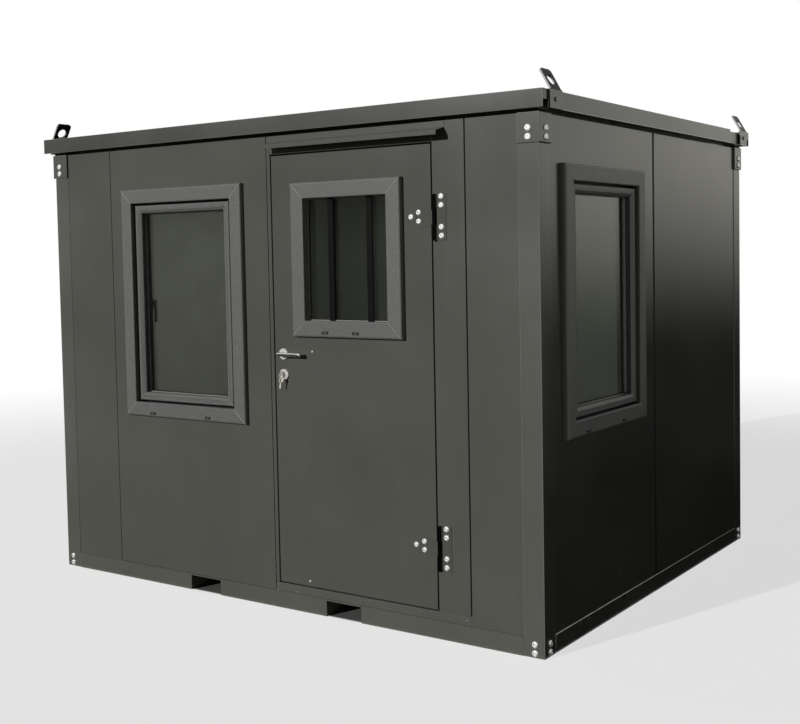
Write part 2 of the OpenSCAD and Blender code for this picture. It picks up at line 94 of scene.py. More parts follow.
def painted_sheet(name, paint, dust, roughness, wave_height, dirt_top):
    """Flat coated steel: clouded satin paint over a sheet that is never quite flat, with dust specks,
    faint runs left by rain and, up to dirt_top metres, splashed earth."""
    material, tree, shader, where = begin(name)
    shader.inputs["IOR"].default_value = 1.5
    clouds = add(tree, "TexNoise", {"Scale": per_metre(550), "Detail": 4.0}, {"Vector": where})
    shade = add(tree, "MapRange", {"From Min": 0.3, "From Max": 0.7, "To Min": 0.93, "To Max": 1.05},
                {"Value": clouds.outputs["Fac"]})
    tone = add(tree, "Mix", {"data_type": "RGBA", "blend_type": "MULTIPLY", 0: 1.0, MIX_A: linear(paint)},
               {MIX_B: shade.outputs["Result"]})
    # Rain runs about 18 mm wide and 900 mm long
    drawn = add(tree, "Mapping", {"Scale": (1.0, 1.0, 0.02)}, {"Vector": where})
    runs = add(tree, "TexNoise", {"Scale": per_metre(18), "Detail": 3.0}, {"Vector": drawn.outputs["Vector"]})
    run_mask = add(tree, "MapRange", {"From Min": 0.52, "From Max": 0.8, "To Max": 0.035},
                   {"Value": runs.outputs["Fac"]})
    streaked = add(tree, "Mix", {"data_type": "RGBA", MIX_B: linear(dust)},
                   {0: run_mask.outputs["Result"], MIX_A: tone.outputs[MIX_OUT]})
    # Dust specks, drawn 6 mm wide so that they show
    specks = add(tree, "TexNoise", {"Scale": per_metre(6), "Detail": 1.0}, {"Vector": where})
    speck_mask = add(tree, "MapRange", {"From Min": 0.78, "From Max": 0.82, "To Max": 0.3},
                     {"Value": specks.outputs["Fac"]})
    dusted = add(tree, "Mix", {"data_type": "RGBA", MIX_B: linear(dust)},
                 {0: speck_mask.outputs["Result"], MIX_A: streaked.outputs[MIX_OUT]})
    height = add(tree, "SeparateXYZ", {}, {"Vector": where})
    low = add(tree, "MapRange", {"From Max": dirt_top, "To Min": 1.0, "To Max": 0.0},
              {"Value": height.outputs["Z"]})
    splashes = add(tree, "TexNoise", {"Scale": per_metre(45), "Detail": 6.0}, {"Vector": where})
    splash_mask = add(tree, "MapRange", {"From Min": 0.45, "From Max": 0.7, "To Max": 0.5},
                      {"Value": splashes.outputs["Fac"]})
    dirt = add(tree, "Math", {"operation": "MULTIPLY"},
               {0: low.outputs["Result"], 1: splash_mask.outputs["Result"]})
    soiled = add(tree, "Mix", {"data_type": "RGBA", MIX_B: linear("#6b6256")},
                 {0: dirt.outputs["Value"], MIX_A: dusted.outputs[MIX_OUT]})
    tree.links.new(soiled.outputs[MIX_OUT], shader.inputs["Base Color"])
    gloss = add(tree, "MapRange", {"From Min": 0.3, "From Max": 0.7, "To Min": roughness - 0.05,
                                   "To Max": roughness + 0.06}, {"Value": clouds.outputs["Fac"]})
    tree.links.new(gloss.outputs["Result"], shader.inputs["Roughness"])
    # The sheet's own waves, about 240 mm from crest to crest
    waves = add(tree, "TexNoise", {"Scale": per_metre(240), "Detail": 1.0}, {"Vector": where})
    wavy = add(tree, "Bump", {"Distance": wave_height}, {"Height": waves.outputs["Fac"]})
    # The coat's orange peel, drawn 7 mm wide so that it shows
    peel = add(tree, "TexNoise", {"Scale": per_metre(7), "Detail": 2.0}, {"Vector": where})
    peeled = add(tree, "Bump", {"Strength": 0.35, "Distance": 0.0001},
                 {"Height": peel.outputs["Fac"], "Normal": wavy.outputs["Normal"]})
    tree.links.new(peeled.outputs["Normal"], shader.inputs["Normal"])
    return material


def grained_foil(name, light, dark, stretch):
    """PVC-u profile wrapped in grained foil: a matt, sandy tooth drawn out along the member."""
    material, tree, shader, where = begin(name)
    shader.inputs["IOR"].default_value = 1.53
    # Grain pits are under 1 mm; they are drawn 5 mm wide so that they show
    drawn = add(tree, "Mapping", {"Scale": stretch}, {"Vector": where})
    grain = add(tree, "TexNoise", {"Scale": per_metre(5), "Detail": 3.0, "Roughness": 0.6},
                {"Vector": drawn.outputs["Vector"]})
    contrast = add(tree, "MapRange", {"From Min": 0.3, "From Max": 0.7}, {"Value": grain.outputs["Fac"]})
    tone = add(tree, "Mix", {"data_type": "RGBA", MIX_A: linear(dark), MIX_B: linear(light)},
               {0: contrast.outputs["Result"]})
    tree.links.new(tone.outputs[MIX_OUT], shader.inputs["Base Color"])
    gloss = add(tree, "MapRange", {"To Min": 0.42, "To Max": 0.58}, {"Value": contrast.outputs["Result"]})
    tree.links.new(gloss.outputs["Result"], shader.inputs["Roughness"])
    pitted = add(tree, "Bump", {"Strength": 0.6, "Distance": 0.0006}, {"Height": grain.outputs["Fac"]})
    tree.links.new(pitted.outputs["Normal"], shader.inputs["Normal"])
    return material


def worked_metal(name, colour, stain, roughness, grain_mm, stretch):
    """Bare or plated metal: fine working marks drawn out along one way, with a little staining."""
    material, tree, shader, where = begin(name)
    shader.inputs["Metallic"].default_value = 1.0
    drawn = add(tree, "Mapping", {"Scale": stretch}, {"Vector": where})
    marks = add(tree, "TexNoise", {"Scale": per_metre(grain_mm), "Detail": 3.0},
                {"Vector": drawn.outputs["Vector"]})
    stains = add(tree, "TexNoise", {"Scale": per_metre(14), "Detail": 3.0}, {"Vector": where})
    stain_mask = add(tree, "MapRange", {"From Min": 0.5, "From Max": 0.8, "To Max": 0.5},
                     {"Value": stains.outputs["Fac"]})
    tone = add(tree, "Mix", {"data_type": "RGBA", MIX_A: linear(colour), MIX_B: linear(stain)},
               {0: stain_mask.outputs["Result"]})
    tree.links.new(tone.outputs[MIX_OUT], shader.inputs["Base Color"])
    gloss = add(tree, "MapRange", {"From Min": 0.3, "From Max": 0.7, "To Min": roughness - 0.06,
                                   "To Max": roughness + 0.08}, {"Value": marks.outputs["Fac"]})
    tree.links.new(gloss.outputs["Result"], shader.inputs["Roughness"])
    marked = add(tree, "Bump", {"Strength": 0.2, "Distance": 0.0001}, {"Height": marks.outputs["Fac"]})
    tree.links.new(marked.outputs["Normal"], shader.inputs["Normal"])
    return material


def moulded_plastic(name, colour, worn, roughness):
    """Moulded or extruded black plastic or rubber: a fine spark grain, greyed where it weathers."""
    material, tree, shader, where = begin(name)
    shader.inputs["IOR"].default_value = 1.5
    # Spark grain drawn 2 mm wide
    grain = add(tree, "TexNoise", {"Scale": per_metre(2), "Detail": 2.0}, {"Vector": where})
    patches = add(tree, "TexNoise", {"Scale": per_metre(25), "Detail": 3.0}, {"Vector": where})
    weather = add(tree, "MapRange", {"From Min": 0.45, "From Max": 0.75}, {"Value": patches.outputs["Fac"]})
    tone = add(tree, "Mix", {"data_type": "RGBA", MIX_A: linear(colour), MIX_B: linear(worn)},
               {0: weather.outputs["Result"]})
    tree.links.new(tone.outputs[MIX_OUT], shader.inputs["Base Color"])
    gloss = add(tree, "MapRange", {"To Min": roughness - 0.08, "To Max": roughness + 0.08},
                {"Value": grain.outputs["Fac"]})
    tree.links.new(gloss.outputs["Result"], shader.inputs["Roughness"])
    sparked = add(tree, "Bump", {"Strength": 0.25, "Distance": 0.0001}, {"Height": grain.outputs["Fac"]})
    tree.links.new(sparked.outputs["Normal"], shader.inputs["Normal"])
    return material


def float_glass(name, tint, clean):
    """Sealed glazing unit of float glass: clear with a grey-green body, faintly wavy and clouded. A clean
    share below one leaves a thin veil of dust that the sun lights."""
    material, tree, shader, where = begin(name)
    shader.inputs["IOR"].default_value = 1.5
    shader.inputs["Transmission Weight"].default_value = clean
    dust = add(tree, "TexNoise", {"Scale": per_metre(220), "Detail": 2.0}, {"Vector": where})
    cloud = add(tree, "MapRange", {"From Min": 0.3, "From Max": 0.7, "To Min": 0.94, "To Max": 1.06},
               {"Value": dust.outputs["Fac"]})
    body = add(tree, "Mix", {"data_type": "RGBA", "blend_type": "MULTIPLY", 0: 1.0, MIX_A: linear(tint)},
               {MIX_B: cloud.outputs["Result"]})
    tree.links.new(body.outputs[MIX_OUT], shader.inputs["Base Color"])
    gloss = add(tree, "MapRange", {"To Min": 0.0, "To Max": 0.012}, {"Value": dust.outputs["Fac"]})
    tree.links.new(gloss.outputs["Result"], shader.inputs["Roughness"])
    # Roller wave of toughened glass, about 300 mm from crest to crest
    waves = add(tree, "TexNoise", {"Scale": per_metre(300), "Detail": 0.0}, {"Vector": where})
    wavy = add(tree, "Bump", {"Distance": 0.0004}, {"Height": waves.outputs["Fac"]})
    tree.links.new(wavy.outputs["Normal"], shader.inputs["Normal"])
    return material


def film_faced_plywood(name):
    """Birch plywood with a brown phenolic film: smooth, with the print of a wire mesh and scuffs."""
    material, tree, shader, where = begin(name)
    shader.inputs["IOR"].default_value = 1.5
    # Wire mesh print, 6 mm from wire to wire, drawn 18 mm so that it shows
    mesh = add(tree, "TexVoronoi", {"Scale": per_metre(18), "Randomness": 0.0}, {"Vector": where})
    scuffs = add(tree, "TexNoise", {"Scale": per_metre(160), "Detail": 6.0}, {"Vector": where})
    worn = add(tree, "MapRange", {"From Min": 0.5, "From Max": 0.75, "To Max": 0.6},
               {"Value": scuffs.outputs["Fac"]})
    tone = add(tree, "Mix", {"data_type": "RGBA", MIX_A: linear("#4a3326"), MIX_B: linear("#76604c")},
               {0: worn.outputs["Result"]})
    tree.links.new(tone.outputs[MIX_OUT], shader.inputs["Base Color"])
    gloss = add(tree, "MapRange", {"To Min": 0.35, "To Max": 0.6}, {"Value": worn.outputs["Result"]})
    tree.links.new(gloss.outputs["Result"], shader.inputs["Roughness"])
    printed = add(tree, "Bump", {"Strength": 0.4, "Distance": 0.0004}, {"Height": mesh.outputs["Distance"]})
    tree.links.new(printed.outputs["Normal"], shader.inputs["Normal"])
    return material


def over_paint(material):
    """What a second finish needs of a painted material: its tree, shader, colour so far and coordinates."""
    tree = material.node_tree
    shader = tree.nodes["Principled BSDF"]
    painted = shader.inputs["Base Color"].links[0].from_socket
    where = add(tree, "TexCoord", {}, {}).outputs["Object"]
    return tree, shader, painted, where


def black_knuckles(name, paint, hinge_x, reach):
    """Steel hinge, painted over with the wall's colour except for its knuckles, which are made near black."""
    material = painted_sheet(name, paint, "#85837a", 0.22, 0.0002, 0.02)
    tree, shader, painted, where = over_paint(material)
    along = add(tree, "SeparateXYZ", {}, {"Vector": where})
    barrel = add(tree, "Math", {"operation": "COMPARE", 1: hinge_x, 2: reach}, {0: along.outputs["X"]})
    # The knuckles have hardly any gloss
    dull = add(tree, "Math", {"operation": "MULTIPLY_ADD", 1: -0.45, 2: 0.5}, {0: barrel.outputs["Value"]})
    tree.links.new(dull.outputs["Value"], shader.inputs["Specular IOR Level"])
    tone = add(tree, "Mix", {"data_type": "RGBA", MIX_B: linear("#030303")},
               {0: barrel.outputs["Value"], MIX_A: painted})
    tree.links.new(tone.outputs[MIX_OUT], shader.inputs["Base Color"])
    return material


def lined_panel(name, paint, roughness, wave_height, inside):
    """Sandwich panel: coated steel outside and a lining sheet of light grey coated steel inside."""
    material = painted_sheet(name, paint, "#85837a", roughness, wave_height, 0.02)
    tree, shader, painted, where = over_paint(material)
    away = add(tree, "VectorMath", {"operation": "ABSOLUTE"}, {0: where})
    spread = add(tree, "SeparateXYZ", {}, {"Vector": away.outputs["Vector"]})
    within = None
    for axis, limit in zip("XYZ", inside):
        test = add(tree, "Math", {"operation": "LESS_THAN", 1: limit}, {0: spread.outputs[axis]})
        if within:
            test = add(tree, "Math", {"operation": "MULTIPLY"},
                       {0: within.outputs["Value"], 1: test.outputs["Value"]})
        within = test
    marks = add(tree, "TexNoise", {"Scale": per_metre(300), "Detail": 3.0}, {"Vector": where})
    lining = add(tree, "Mix", {"data_type": "RGBA", MIX_A: linear("#a6a8a2"), MIX_B: linear("#b0b2ac")},
                 {0: marks.outputs["Fac"]})
    tone = add(tree, "Mix", {"data_type": "RGBA"},
               {0: within.outputs["Value"], MIX_A: painted, MIX_B: lining.outputs[MIX_OUT]})
    tree.links.new(tone.outputs[MIX_OUT], shader.inputs["Base Color"])
    return material


def lug_with_painted_ear(name, paint, ear_reflection, bend, plate_face):
    """A lug painted with the roof edge. Above the bend its ear is dark blue-green, a painted reflection of
    sky on the shaded ear.
    The ear's front and back cut edges and the bolt head, which alone stands past the plate's face, are left
    bright as plated steel; on the cut edges that brightness is also a painted highlight."""
    material = painted_sheet(name, paint, "#8d8b82", 0.24, 0.0002, 0.01)
    tree, shader, painted, where = over_paint(material)
    spot = add(tree, "SeparateXYZ", {}, {"Vector": where})
    # The painted reflection's lower border is 4 mm deep
    above_bend = add(tree, "MapRange", {"From Min": bend - 2 * MM, "From Max": bend + 2 * MM},
                  {"Value": spot.outputs["Z"]})
    tone = add(tree, "Mix", {"data_type": "RGBA", MIX_B: linear(ear_reflection)},
               {0: above_bend.outputs["Result"], MIX_A: painted})
    outward = add(tree, "Math", {"operation": "ABSOLUTE"}, {0: spot.outputs["X"]})
    bolt = add(tree, "Math", {"operation": "GREATER_THAN", 1: plate_face}, {0: outward.outputs["Value"]})
    surface = add(tree, "NewGeometry", {}, {})
    facing = add(tree, "SeparateXYZ", {}, {"Vector": surface.outputs["True Normal"]})
    endways = add(tree, "Math", {"operation": "ABSOLUTE"}, {0: facing.outputs["Y"]})
    cut = add(tree, "Math", {"operation": "GREATER_THAN", 1: 0.6}, {0: endways.outputs["Value"]})
    ear_cut = add(tree, "Math", {"operation": "MULTIPLY"},
                  {0: cut.outputs["Value"], 1: above_bend.outputs["Result"]})
    bolt_and_glint_edges = add(tree, "Math", {"operation": "MAXIMUM"},
               {0: bolt.outputs["Value"], 1: ear_cut.outputs["Value"]})
    plated_and_glinted = add(tree, "Mix", {"data_type": "RGBA", MIX_B: linear("#b4b6b4")},
                 {0: bolt_and_glint_edges.outputs["Value"], MIX_A: tone.outputs[MIX_OUT]})
    tree.links.new(plated_and_glinted.outputs[MIX_OUT], shader.inputs["Base Color"])
    # The ear has hardly any gloss
    dull = add(tree, "Math", {"operation": "MULTIPLY_ADD", 1: -0.48, 2: 0.5}, {0: above_bend.outputs["Result"]})
    tree.links.new(dull.outputs["Value"], shader.inputs["Specular IOR Level"])
    return material


def scuffed_sill(name, paint):
    """Coated steel that is stepped on: the paint is scratched to the zinc in short bright strokes."""
    material = painted_sheet(name, paint, "#8d8b82", 0.33, 0.0002, 0.13)
    tree, shader, painted, where = over_paint(material)
    # Strokes about 8 mm wide and 45 mm long
    drawn = add(tree, "Mapping", {"Scale": (0.17, 1.0, 1.0)}, {"Vector": where})
    strokes = add(tree, "TexNoise", {"Scale": per_metre(8), "Detail": 2.0},
                  {"Vector": drawn.outputs["Vector"]})
    bared = add(tree, "MapRange", {"From Min": 0.69, "From Max": 0.73, "To Max": 0.8},
                {"Value": strokes.outputs["Fac"]})
    tone = add(tree, "Mix", {"data_type": "RGBA", MIX_B: linear("#c3c5c2")},
               {0: bared.outputs["Result"], MIX_A: painted})
    tree.links.new(tone.outputs[MIX_OUT], shader.inputs["Base Color"])
    return material


# The hinges' axis, and how far the knuckles reach on both sides of it
HINGE_X = 0.984
KNUCKLE_REACH = 0.0088
# Half the room's width, half its depth and its height, just past the faces of the lining
INSIDE = (1.4275, 1.151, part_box("roof_panel")[0].z + 0.0005)
ROOF_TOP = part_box("roof_edge_front")[1].z
# Just past the lug plates' outer face, on which the bolt heads stand 6 mm high
PAST_LUG_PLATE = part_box("lifting_lugs")[1].x - 0.0058
wall_coat = lined_panel("coil_coated_steel_walls", "#53544e", 0.22, 0.0002, INSIDE)
door_coat = painted_sheet("coil_coated_steel_door", "#51524c", "#85837a", 0.22, 0.0002, 0.02)
roof_coat = lined_panel("coil_coated_steel_roof", "#4b4c47", 0.34, 0.0006, INSIDE)
frame_coat = painted_sheet("powder_coated_steel_frame", "#575852", "#85837a", 0.24, 0.0001, 0.03)
edge_coat = painted_sheet("powder_coated_steel_roof_edges", "#484944", "#8d8b82", 0.28, 0.0001, 0.01)
# A lighter coat for the rounded edges of posts and roof edges: a painted highlight along them
painted_highlight_edge_coat = painted_sheet("powder_coat_painted_highlight_on_edges", "#6c6d67", "#97958c", 0.24, 0.0, 0.09)
sill_coat = scuffed_sill("scratched_coated_steel_sill", "#53544e")
hinge_coat = black_knuckles("painted_hinge_with_black_knuckles", "#4f504a", HINGE_X, KNUCKLE_REACH)
# The uprights' foil is a little lighter and the rails' a little darker: painted light and shade on the
# members
foil_upright = grained_foil("grained_foil_pvcu_uprights", "#6a6b67", "#4f504c", (1.0, 1.0, 0.5))
foil_level = grained_foil("grained_foil_pvcu_rails", "#636461", "#555653", (0.12, 0.12, 1.0))
# The darker foil of window frames and reveals is painted shade in the window recesses
dark_foil_painted_shade = grained_foil("grained_foil_pvcu_reveals_painted_shade", "#2a2b2c", "#1f2021", (1.0, 1.0, 0.2))
weld_seam = moulded_plastic("pvcu_weld_bead", "#8b8c87", "#777873", 0.35)
window_glazing = float_glass("float_glass_window_unit", "#b4b9ad", 0.995)
# A darker-tinted copy of the glass for the right window and the door: the darker tint is painted shade on
# those panes
darker_glazing_painted_shade = float_glass("float_glass_painted_shade_unit", "#80857b", 1.0)
zinc_with_painted_glint = worked_metal("zinc_plated_steel_with_painted_glint", "#f4f4f2", "#dcdcd8", 0.38, 3.0, (1.0, 1.0, 1.0))
stainless_with_painted_glint = worked_metal("satin_stainless_steel_with_painted_glint", "#ebe9e5", "#d2cfc9", 0.42, 2.0, (0.08, 1.0, 1.0))
# Zinc and stainless are made partly diffuse and near white: this paints the sun's glint on bolt heads and the
# lock's roses into their colour
zinc_with_painted_glint.node_tree.nodes["Principled BSDF"].inputs["Metallic"].default_value = 0.5
stainless_with_painted_glint.node_tree.nodes["Principled BSDF"].inputs["Metallic"].default_value = 0.7
polished = worked_metal("polished_stainless_steel", "#d6d4cf", "#b4b1ab", 0.2, 2.0, (0.08, 1.0, 1.0))
nickel = worked_metal("nickel_plated_brass_keys", "#d8d4c6", "#b0a88d", 0.26, 2.0, (1.0, 1.0, 1.0))
# Bright steel for the rounded edges of the end rails and end roof edges: a painted highlight along them
painted_highlight_bright_edge = worked_metal("bright_steel_painted_highlight_on_edges", "#c4c6c8", "#8b857b", 0.3, 4.0, (1.0, 1.0, 1.0))
lug_painted_reflection_and_glint = lug_with_painted_ear("steel_lugs_painted_reflection_and_glint", "#4b4c47", "#1b2c36", ROOF_TOP, PAST_LUG_PLATE)
polyamide = moulded_plastic("moulded_black_polyamide", "#0d0e0e", "#1b1c1b", 0.42)
gasket_rubber = moulded_plastic("extruded_grey_tpe_gasket", "#8b8d8a", "#6f716e", 0.5)
# Black rubber for the panel joints, also used for packers that stand in for shade in the roof corners
joint_rubber_and_shade_fill = moulded_plastic("extruded_black_joint_rubber", "#060707", "#101110", 0.7)
bar_coat = painted_sheet("black_powder_coated_bars", "#0a0b0b", "#141413", 0.6, 0.0, 0.01)
for matt in (joint_rubber_and_shade_fill, bar_coat, polyamide):
    matt.node_tree.nodes["Principled BSDF"].inputs["Specular IOR Level"].default_value = 0.1
floor_board = film_faced_plywood("film_faced_birch_plywood")


def dress(node, finish, edge, painted_edge_highlight=None):
    """Gives a CAD node its finish, and edges of a real radius that catch the light. An edge finish, where
    given, is lighter and paints a highlight along those edges.
    """
    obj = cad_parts[node]
    for slot in obj.material_slots:
        slot.material = finish
    weld = obj.modifiers.new("joined_faces", "WELD")
    weld.merge_threshold = 0.00002
    radius = obj.modifiers.new("edge_radius", "BEVEL")
    radius.width = edge * MM
    radius.segments = 2
    radius.limit_method = "ANGLE"
    radius.angle_limit = math.radians(35)
    radius.use_clamp_overlap = True
    if painted_edge_highlight:
        obj.data.materials.append(painted_edge_highlight)
        radius.material = len(obj.data.materials) - 1
    obj.modifiers.new("flat_faces", "WEIGHTED_NORMAL")


for node in ("base_rail_front", "base_rail_back"):
    dress(node, frame_coat, 0.5)
for node in ("base_rail_left", "base_rail_right"):
    dress(node, frame_coat, 2.0, painted_highlight_bright_edge)
dress("base_cross_members", frame_coat, 1.5)
dress("floor_panel", floor_board, 1.0)
for node in ("post_front_left", "post_front_right", "post_back_left", "post_back_right", "roof_corners"):
    dress(node, frame_coat, 3.0, painted_highlight_edge_coat)
for node in ("front_panel_left", "front_panel_window", "front_panel_right", "left_panel_front",
             "left_panel_back", "back_panel_left", "back_panel_middle", "back_panel_right"):
    dress(node, wall_coat, 2.5)
for node in ("right_panel_window", "right_panel_plain"):
    dress(node, wall_coat, 4.0)
for node in ("door_jamb_left", "door_jamb_right", "door_head"):
    dress(node, wall_coat, 3.0)
dress("door_sill", sill_coat, 2.0)
dress("door_leaf", door_coat, 2.5)
dress("drip_rail", wall_coat, 0.6)
dress("roof_panel", roof_coat, 1.0)
dress("roof_edge_front", edge_coat, 2.0, painted_highlight_edge_coat)
dress("roof_edge_back", edge_coat, 0.2, painted_highlight_edge_coat)
for node in ("roof_edge_left", "roof_edge_right"):
    dress(node, edge_coat, 2.0, painted_highlight_bright_edge)
# The lugs' rounded edges take bright zinc: a painted highlight
dress("lifting_lugs", lug_painted_reflection_and_glint, 1.6, zinc_with_painted_glint)
# The window frames take the darker foil: painted shade inside the openings
for node in ("front_window_frame", "right_window_frame"):
    dress(node, dark_foil_painted_shade, 2.0)
for node, glazing in (("front_window_glass", window_glazing), ("right_window_glass", darker_glazing_painted_shade),
                      ("door_window_glass", darker_glazing_painted_shade)):
    dress(node, glazing, 0.5)
    # Light that bounces about the room ignores the glass, which keeps the inside free of grain
    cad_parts[node].visible_diffuse = False
for node in ("hinge_frame_sides", "hinge_leaf_sides"):
    dress(node, hinge_coat, 1.5)
dress("lock_plates", stainless_with_painted_glint, 1.6)
dress("door_lever", polished, 0.5)


def place(name, body, finishes, bm, smooth=False):
    """Turns a finished mesh into a piece that rides on a body."""
    bmesh.ops.recalc_face_normals(bm, faces=bm.faces)
    mesh = bpy.data.meshes.new(name)
    bm.to_mesh(mesh)
    bm.free()
    for finish in finishes:
        mesh.materials.append(finish)
    if smooth:
        mesh.shade_smooth()
    obj = bpy.data.objects.new(name, mesh)
    scene.collection.objects.link(obj)
    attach(obj, body)
    return obj


def skin(bm, loops, smooth=False):
    """Faces between successive loops of points, closed at both ends."""
    rings = [[bm.verts.new(point) for point in loop] for loop in loops]
    for here, there in zip(rings, rings[1:]):
        for k in range(len(here)):
            after = (k + 1) % len(here)
            face = bm.faces.new((here[k], here[after], there[after], there[k]))
            face.smooth = smooth
    bm.faces.new(rings[0])
    bm.faces.new(rings[-1])


def corners(left, low, right, high, inset):
    """A rectangle's corners, drawn in on all sides."""
    return [(left + inset, low + inset), (right - inset, low + inset),
            (right - inset, high - inset), (left + inset, high - inset)]


def mitred_ring(bm, wall, rectangle, base, section):
    """Four mitred members round a rectangle. The section is a closed run of points, each its distance
    in from the rectangle and out from the base. Uprights take the first finish, rails the second."""
    loops = []
    for inset, out in section:
        loops.append([bm.verts.new(wall @ Vector((u, v, base + out * MM)))
                      for u, v in corners(*rectangle, inset * MM)])
    for here, there in zip(loops, loops[1:] + loops[:1]):
        for side in range(4):
            after = (side + 1) % 4
            face = bm.faces.new((here[side], here[after], there[after], there[side]))
            face.material_index = 0 if side % 2 else 1


# How far a weld bead stands proud
BEAD_RISE = 0.0007


def weld_beads(bm, wall, rectangle, base, section, width):
    """The raised beads left by welding the mitres, over the visible run of the section."""
    for corner in range(4):
        across = Vector(((1, 1), (1, -1), (1, 1), (1, -1))[corner]).orthogonal().normalized() * width * MM / 2
        loops = []
        for inset, out in section:
            u, v = corners(*rectangle, inset * MM)[corner]
            middle = base + out * MM
            ring = ((u + across.x, v + across.y, middle), (u, v, middle + BEAD_RISE),
                    (u - across.x, v - across.y, middle), (u, v, middle - BEAD_RISE))
            loops.append([wall @ Vector(point) for point in ring])
        skin(bm, loops)


def wall_rectangle(node, wall):
    """Where a node lies on its wall: its rectangle there, its back and its face."""
    low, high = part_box(node)
    to_wall = wall.inverted()
    a = to_wall @ low
    b = to_wall @ high
    lo = [min(p, q) for p, q in zip(a, b)]
    hi = [max(p, q) for p, q in zip(a, b)]
    return (lo[0], lo[1], hi[0], hi[1]), lo[2], hi[2]


def window_trim(name, node, body, wall, face):
    """A window's surround: a broad flat face with rounded outer and inner edges, welded at its mitres."""
    rectangle, base, top = wall_rectangle(node, wall)
    out = (top - base) / MM
    visible = [(0, out - 9), (0.8, out - 5.5), (2.6, out - 2.6), (5.6, out - 0.8), (9.5, out),
               (face - 5, out), (face - 2.4, out - 0.6), (face - 0.6, out - 2.4), (face, out - 5)]
    bm = bmesh.new()
    mitred_ring(bm, wall, rectangle, base, [(0, 0)] + visible + [(face, 0)])
    trim = place(name, body, (foil_upright, foil_level), bm)
    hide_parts(node)
    beads = bmesh.new()
    weld_beads(beads, wall, rectangle, base, visible, 3.0)
    place(name + "_weld_beads", body, (weld_seam,), beads)


def window_sash(name, node, body, wall, face):
    """A window's sash: a flat face, a fine joint line, then the glazing bead sloping to the glass."""
    rectangle, base, top = wall_rectangle(node, wall)
    out = (top - base) / MM
    section = [(0, 0), (0, out - 3.5), (1, out - 1), (3.5, out), (20, out), (21, out - 1.6),
               (22, out - 1.6), (23, out), (26, out), (face - 3, out - 6), (face - 0.6, out - 8.4),
               (face, out - 10), (face, 0)]
    bm = bmesh.new()
    mitred_ring(bm, wall, rectangle, base, section)
    # The reveals beside the glass and the back take the darker foil: painted shade in these recesses
    bm.faces.ensure_lookup_table()
    for face_of_reveal in bm.faces[-8:]:
        face_of_reveal.material_index = 2
    sash = place(name, body, (foil_upright, foil_level, dark_foil_painted_shade), bm)
    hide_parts(node)
    beads = bmesh.new()
    weld_beads(beads, wall, rectangle, base, section[2:11], 2.4)
    place(name + "_weld_beads", body, (weld_seam,), beads)


def glass_gasket(name, node, body, wall):
    """The rubber lip that seals a pane's edge."""
    rectangle, _, top = wall_rectangle(node, wall)
    bm = bmesh.new()
    mitred_ring(bm, wall, rectangle, top, [(0, 0), (0, 2.6), (1.2, 2.9), (3.4, 1.4), (4, 0)])
    place(name, body, (gasket_rubber,), bm)


for name, node, body, wall, face in (
    ("front_window_surround", "front_window_trim", "cabin", ON_FRONT, 73),
    ("right_window_surround", "right_window_trim", "cabin", ON_RIGHT, 73),
    ("door_window_surround", "door_window_trim", "door", ON_FRONT, 76),
):
    window_trim(name, node, body, wall, face)
for name, node, wall in (
    ("front_window_casement", "front_window_sash", ON_FRONT),
    ("right_window_casement", "right_window_sash", ON_RIGHT),
):
    window_sash(name, node, "cabin", wall, 40)
for name, node, body, wall in (
    ("front_glass_gasket", "front_window_glass", "cabin", ON_FRONT),
    ("right_glass_gasket", "right_window_glass", "cabin", ON_RIGHT),
    ("door_glass_gasket", "door_window_glass", "door", ON_FRONT),
):
    glass_gasket(name, node, body, wall)


def turned(bm, where, rings, sides=24):
    """A turned solid standing on a wall. Each ring has a height and either one radius or one per side."""
    loops = []
    for radius, out in rings:
        radii = radius if isinstance(radius, list) else [radius] * sides
        angles = [2 * math.pi * k / sides for k in range(sides)]
        loops.append([where @ Vector((r * math.cos(a) * MM, r * math.sin(a) * MM, out * MM))
                      for r, a in zip(radii, angles)])
    skin(bm, loops, smooth=True)


def hexagon(across, sides=24):
    """The radii of a hexagonal socket, seen from its middle."""
    angles = [2 * math.pi * k / sides for k in range(sides)]
    return [across / 2 / math.cos(angle % (math.pi / 3) - math.pi / 6) for angle in angles]


def bolt_heads(name, body, places, size):
    """Button-head socket bolts of one size, each stopped at its own angle."""
    # The dome's radii and heights, and the socket in it, as shares of the head's size
    dome = ((0.5, 0), (0.5, 0.06), (0.47, 0.15), (0.4, 0.22), (0.3, 0.27))
    socket = size * 0.33
    rings = [(size * radius, size * out) for radius, out in dome]
    rings += [(hexagon(socket + 0.6), size * 0.28), (hexagon(socket), size * 0.25),
              (hexagon(socket), size * 0.1)]
    bm = bmesh.new()
    for wall, u, v, out in places:
        stop = math.radians((u * 977 + v * 613) % 60)
        where = wall @ Matrix.Translation((u, v, out)) @ Matrix.Rotation(stop, 4, "Z")
        turned(bm, where, rings)
    place(name, body, (zinc_with_painted_glint,), bm)


post_low, post_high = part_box("post_front_right")
leg_low, leg_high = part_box("roof_corners")
# Head sizes in mm
CORNER_BOLT = 30
FRAME_BOLT = 27
LEAF_BOLT = 26
SCREW = 10
# The corner bolts' distance from the edge of the post, and their heights
BOLT_INSET = 0.046
TOP_BOLTS = (2.207, 2.17)
FOOT_BOLTS = (0.058, 0.021)
corner_places = []
for wall, reach, leg_face, post_face in (
    (ON_FRONT, post_high.x, -leg_low.y, -post_low.y),
    (ON_BACK, post_high.x, leg_high.y, -post_low.y),
    (ON_RIGHT, -post_low.y, leg_high.x, post_high.x),
    (ON_LEFT, -post_low.y, leg_high.x, post_high.x),
):
    for side in (-1, 1):
        for z in TOP_BOLTS:
            corner_places.append((wall, side * (reach - BOLT_INSET), z, leg_face))
        for z in FOOT_BOLTS:
            corner_places.append((wall, side * (reach - BOLT_INSET), z, post_face))
bolt_heads("corner_bolts", "cabin", corner_places, CORNER_BOLT)

